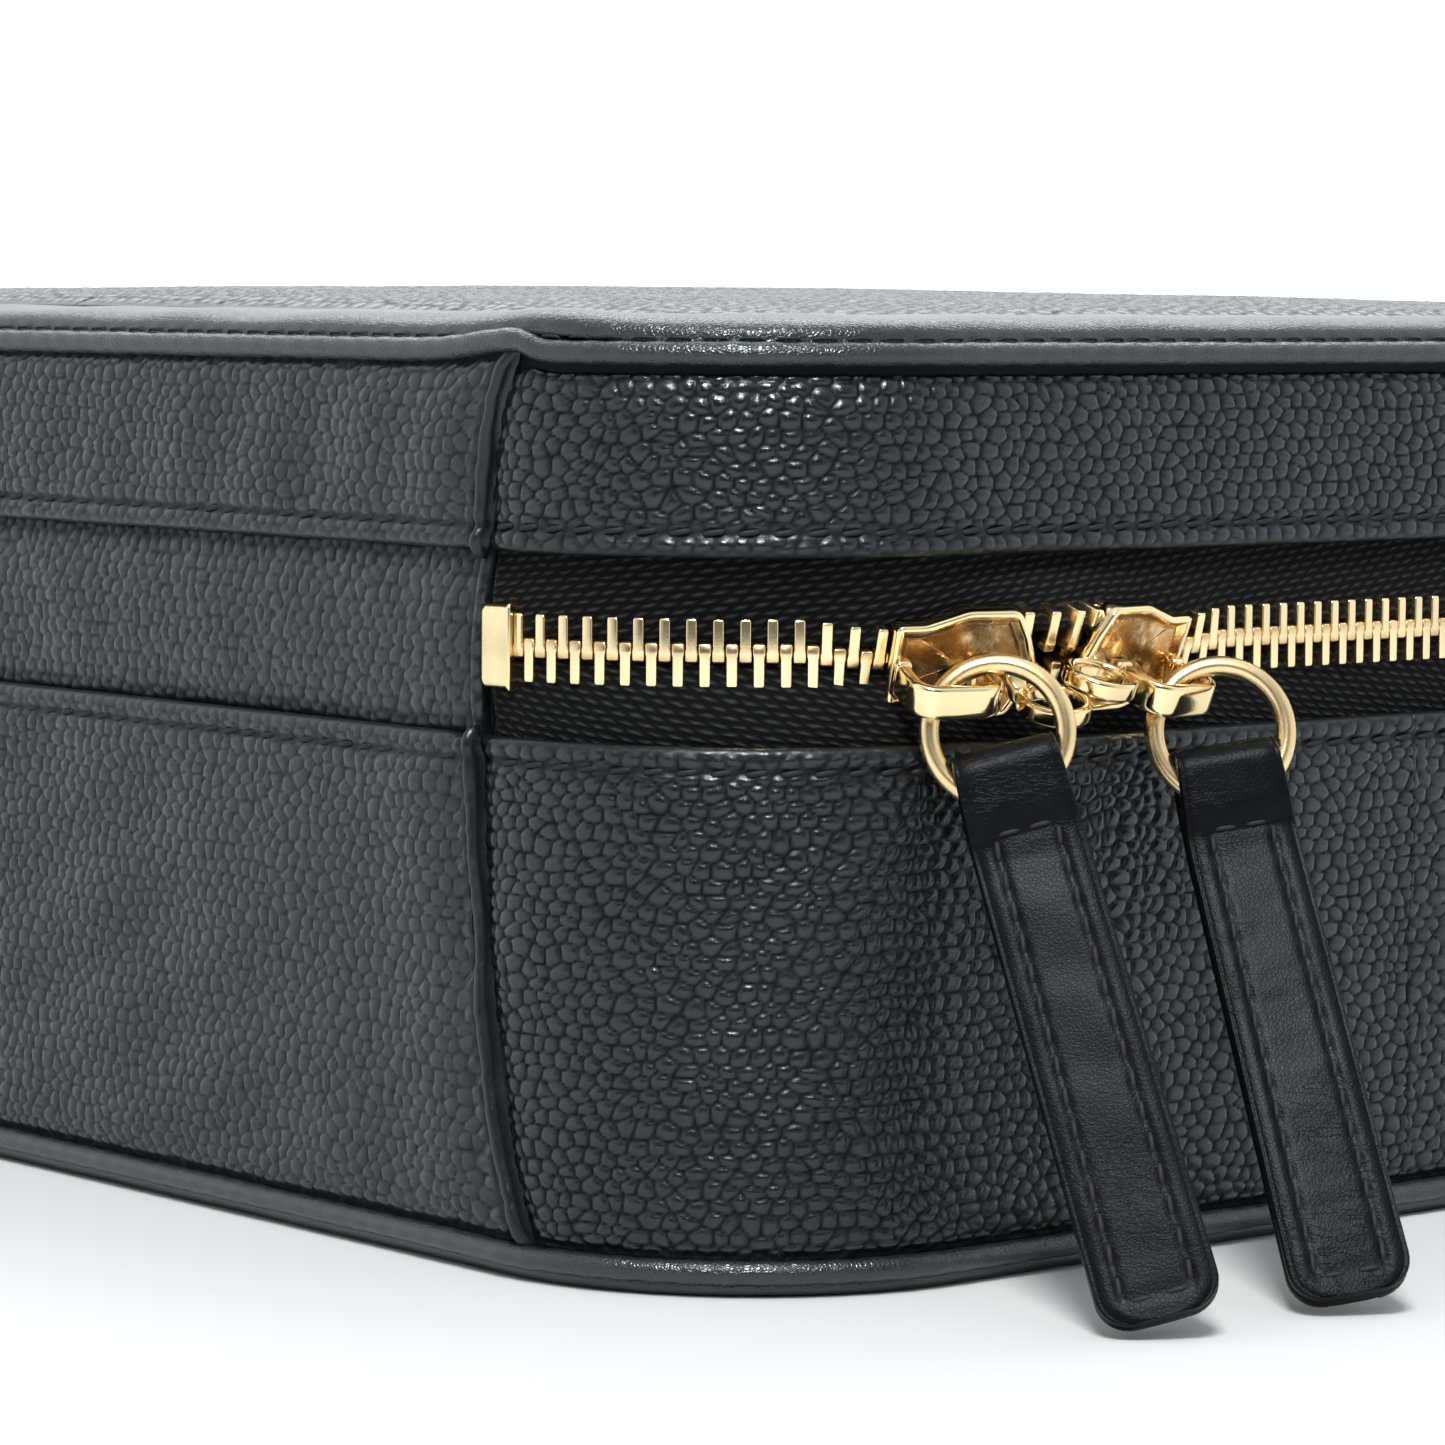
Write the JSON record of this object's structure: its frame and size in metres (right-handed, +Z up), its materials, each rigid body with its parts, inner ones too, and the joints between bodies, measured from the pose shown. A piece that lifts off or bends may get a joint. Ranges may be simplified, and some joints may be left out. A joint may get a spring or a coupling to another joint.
{
  "type": "jewellery case",
  "caption": "Low leather case with rounded corners; its padded lid zips shut round the sides with lockable sliders and leather pulls, hinges on a leather strip and covers ring rolls and wells.",
  "frame": {"origin": "on the floor under the middle of the leather case", "axes": "+Z up; +Y towards the hinged back; -X towards the side on which the sliders meet"},
  "size_m": [0.266, 0.1754, 0.0862],
  "materials": {
    "grain_leather": "glossy pebble grain",
    "smooth_leather": "fine grain, satin",
    "pull_leather": "fine grain with burnished edges",
    "board": "plain",
    "padding": "soft",
    "lining": "napped",
    "zip_tape": "twill",
    "gold_metal": "polished"
  },
  "bodies": {
    "base": {"base_gusset": "grain_leather", "base_back_panel": "grain_leather", "base_floor_board": "board", "base_wall_board": "board", "bottom_panel": "smooth_leather", "bottom_border": "smooth_leather", "bottom_piping": "smooth_leather", "base_lining": "lining", "divider_long": "lining", "divider_cross": "lining", "ring_rolls": "lining", "hinge_strip": "smooth_leather", "hinge_lining": "lining", "zip_teeth_lower": "gold_metal", "zip_tape_lower": "zip_tape", "zip_end_stops": "gold_metal"},
    "lid": {"lid_gusset": "grain_leather", "lid_back_panel": "grain_leather", "lid_wall_board": "board", "lid_top_board": "board", "lid_piping": "smooth_leather", "lid_border": "smooth_leather", "lid_foam": "padding", "lid_top_panel": "grain_leather", "lid_lining": "lining", "zip_teeth_upper": "gold_metal", "zip_tape_upper": "zip_tape"},
    "slider_left": {"slider_left_body": "gold_metal", "slider_left_bail": "gold_metal"},
    "ring_left": {"ring_left": "gold_metal", "pull_left_loop": "pull_leather"},
    "pull_left": {"pull_left_tab": "pull_leather", "pull_left_filler": "board"},
    "slider_right": {"slider_right_body": "gold_metal", "slider_right_bail": "gold_metal"},
    "ring_right": {"ring_right": "gold_metal", "pull_right_loop": "pull_leather"},
    "pull_right": {"pull_right_tab": "pull_leather", "pull_right_filler": "board"}
  },
  "joints": [
    {"name": "lid_hinge", "type": "hinge", "parent": "base", "child": "lid", "pos_m": [0, 0.0847, 0.05525], "axis": [-1, 0, 0], "range_deg": [0, 105], "deforming": ["hinge_strip", "hinge_lining", "zip_tape_upper", "zip_tape_lower", "zip_teeth_upper", "zip_teeth_lower"]},
    {"name": "slider_left_run", "type": "hinge", "parent": "base", "child": "slider_left", "pos_m": [-0.0875, 0.0585, 0.0547], "axis": [0, 0, -1], "range_deg": [0, 65], "deforming": ["zip_tape_upper", "zip_tape_lower", "zip_teeth_upper", "zip_teeth_lower"]},
    {"name": "slider_right_run", "type": "slide", "parent": "base", "child": "slider_right", "axis": [0, -1, 0], "range_m": [0, 0.085], "deforming": ["zip_tape_upper", "zip_tape_lower", "zip_teeth_upper", "zip_teeth_lower"]},
    {"name": "ring_left_swing", "type": "hinge", "parent": "slider_left", "child": "ring_left", "pos_m": [-0.12066, 0.05892, 0.04851], "axis": [-0.7402, 0.651, 0.1685], "range_deg": [-22, 2]},
    {"name": "pull_left_flex", "type": "hinge", "parent": "ring_left", "child": "pull_left", "pos_m": [-0.12352, 0.05802, 0.03939], "axis": [0.6026, 0.7533, -0.2634], "range_deg": [-10, 70]},
    {"name": "ring_right_swing", "type": "hinge", "parent": "slider_right", "child": "ring_right", "pos_m": [-0.12259, 0.03394, 0.04747], "axis": [-0.7799, 0.5841, 0.225], "range_deg": [-2, 30]},
    {"name": "pull_right_flex", "type": "hinge", "parent": "ring_right", "child": "pull_right", "pos_m": [-0.12527, 0.03393, 0.03824], "axis": [0.5606, 0.8117, -0.1642], "range_deg": [-10, 70]}
  ]
}
